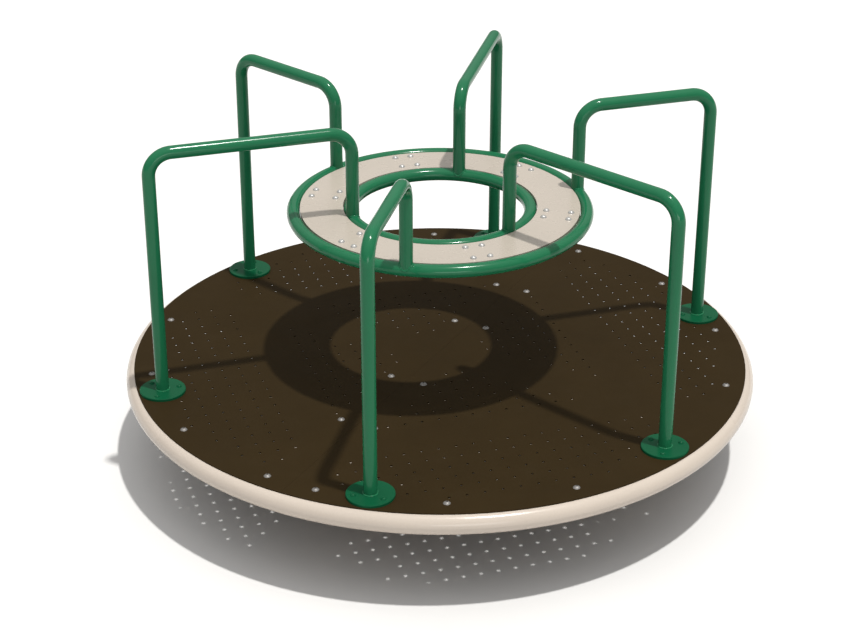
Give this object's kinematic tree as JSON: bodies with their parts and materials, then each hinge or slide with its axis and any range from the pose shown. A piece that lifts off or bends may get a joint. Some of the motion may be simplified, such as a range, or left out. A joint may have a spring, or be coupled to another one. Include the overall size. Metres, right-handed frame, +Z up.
{
  "type": "merry-go-round",
  "caption": "Spinning playground platform: round perforated deck on a bearing hub, bent handrails, and a ring table that the handrails carry.",
  "frame": {"origin": "on the spin axis, on the ground, at the underside of the base plate", "axes": "+Z up along the spin axis, +X through the outer leg of handrail_1 at the stored angle of the deck"},
  "size_m": [1.881, 1.8812, 1.0496],
  "materials": {
    "green_coat": "gloss powder coat",
    "tan_coat": "semi-gloss powder coat",
    "brown_coat": "satin coat",
    "tan_panel": "smooth satin polymer sheet",
    "plain_fasteners": "dull zinc",
    "bright_fasteners": "bright stainless",
    "galvanised": "hot-dip galvanised",
    "bearing_steel": "ground",
    "cage_steel": "pressed",
    "cap_steel": "zinc plated",
    "seal_rubber": "matte",
    "brass_fitting": "plain"
  },
  "bodies": {
    "pedestal": {"base_plate": "galvanised", "spindle": "bearing_steel", "spindle_gussets": "galvanised", "lower_bearing_cone": "bearing_steel", "upper_bearing_cone": "bearing_steel", "spindle_washer": "bearing_steel", "castle_nut": "bearing_steel", "split_pin": "bearing_steel"},
    "lower_cage": {"lower_bearing_rollers": "bearing_steel", "lower_bearing_cage": "cage_steel"},
    "upper_cage": {"upper_bearing_rollers": "bearing_steel", "upper_bearing_cage": "cage_steel"},
    "platform": {"hub_housing": "tan_coat", "hub_flange": "tan_coat", "hub_gussets": "tan_coat", "lower_bearing_cup": "bearing_steel", "upper_bearing_cup": "bearing_steel", "grease_seal": "seal_rubber", "grease_cap": "cap_steel", "grease_fitting": "brass_fitting", "seam_beam": "tan_coat", "cross_arm_a": "tan_coat", "cross_arm_b": "tan_coat", "side_beam_1": "tan_coat", "side_beam_2": "tan_coat", "side_beam_3": "tan_coat", "side_beam_4": "tan_coat", "rim_tube": "tan_coat", "rim_tabs": "tan_coat", "post_pads": "tan_coat", "deck_plate_a": "brown_coat", "deck_plate_b": "brown_coat", "deck_screws": "plain_fasteners", "deck_nuts": "plain_fasteners", "handrail_1": "green_coat", "handrail_2": "green_coat", "handrail_3": "green_coat", "handrail_4": "green_coat", "handrail_5": "green_coat", "handrail_6": "green_coat", "post_flange_1": "green_coat", "post_flange_2": "green_coat", "post_flange_3": "green_coat", "post_flange_4": "green_coat", "post_flange_5": "green_coat", "post_flange_6": "green_coat", "flange_screws": "green_coat", "flange_nuts": "plain_fasteners", "table_outer_tube": "green_coat", "table_inner_tube": "green_coat", "table_straps": "green_coat", "table_panel": "tan_panel", "panel_screws": "bright_fasteners", "panel_nuts": "plain_fasteners"}
  },
  "joints": [
    {"name": "platform_spin", "type": "hinge", "parent": "pedestal", "child": "platform", "pos_m": [0, 0, 0.16], "axis": [0, 0, 1], "continuous": true},
    {"name": "lower_cage_spin", "type": "hinge", "parent": "pedestal", "child": "lower_cage", "pos_m": [0, 0, 0.099], "axis": [0, 0, 1], "continuous": true},
    {"name": "upper_cage_spin", "type": "hinge", "parent": "pedestal", "child": "upper_cage", "pos_m": [0, 0, 0.224], "axis": [0, 0, 1], "continuous": true}
  ],
  "couplings": [
    {"joint": "lower_cage_spin", "follows": "platform_spin", "ratio": 0.5763},
    {"joint": "upper_cage_spin", "follows": "platform_spin", "ratio": 0.5858}
  ]
}
